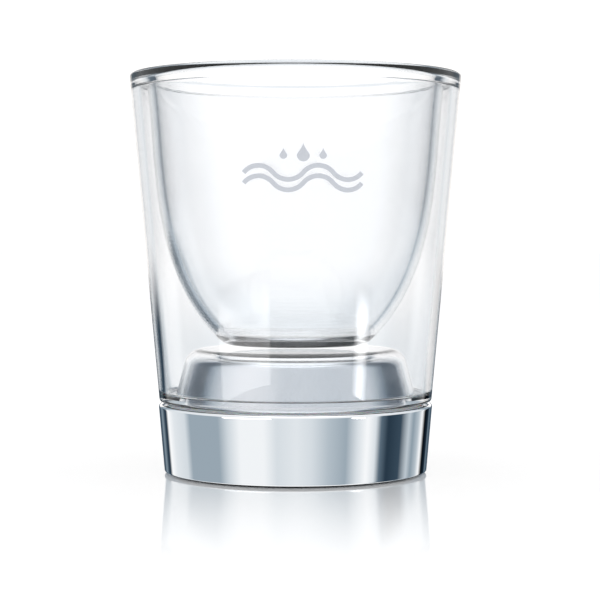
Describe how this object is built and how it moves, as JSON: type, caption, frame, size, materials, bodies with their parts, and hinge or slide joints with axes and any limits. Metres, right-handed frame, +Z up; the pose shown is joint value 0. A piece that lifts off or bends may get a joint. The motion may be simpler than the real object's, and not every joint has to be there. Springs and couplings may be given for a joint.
{
  "type": "charging glass with inductive base",
  "caption": "Clear double-walled rinse glass that lifts off a round inductive charging base with a polished metal ring and a domed plateau.",
  "frame": {"origin": "on the table, under the middle of the base", "axes": "+Z up along the glass's axis, -Y the front, +Y the back with the cord inlet, +X to the right seen from the front"},
  "size_m": [0.083, 0.083, 0.1],
  "materials": {
    "clear_glass": "clear, fire polished",
    "polished_chrome": "mirror polished",
    "silver_cover": "metallic silver, gloss",
    "soft_seat": "satin silicone",
    "housing_plastic": "fine spark texture",
    "black_rubber": "matt",
    "screw_steel": "zinc plated",
    "foam": "open cell",
    "natural_plastic": "moulded",
    "copper": "enamelled copper wire",
    "ferrite": "sintered",
    "board_green": "solder resist",
    "board_paper": "pressed sheet",
    "capacitor_sleeve": "shrink sleeve",
    "film_red": "dipped",
    "chip_black": "moulded epoxy",
    "resistor_blue": "lacquered",
    "terminal_green": "moulded",
    "frosted_print": "fired-on satin enamel"
  },
  "bodies": {
    "base": {"chrome_ring": "polished_chrome", "top_cover": "silver_cover", "seat_ring": "soft_seat", "lower_housing": "housing_plastic", "ring_gasket": "black_rubber", "foot_ring": "black_rubber", "housing_screws": "screw_steel", "cord_gland": "black_rubber", "coil_pad": "foam", "coil_former": "natural_plastic", "coil_winding": "copper", "ferrite_core": "ferrite", "coil_carrier": "natural_plastic", "coil_leads": "copper", "circuit_board": "board_green", "board_screws": "screw_steel", "insulating_sheet": "board_paper", "bulk_capacitor": "capacitor_sleeve", "film_capacitors": "film_red", "choke": "ferrite", "power_transistors": "chip_black", "control_chip": "chip_black", "bridge_rectifier": "chip_black", "fuse_resistor": "resistor_blue", "terminal_block": "terminal_green"},
    "glass": {"glass_outer": "clear_glass", "glass_bowl": "clear_glass"}
  },
  "joints": [
    {"name": "glass_lift", "type": "slide", "parent": "base", "child": "glass", "axis": [0, 0, 1], "range_m": [0, 0.06]}
  ]
}
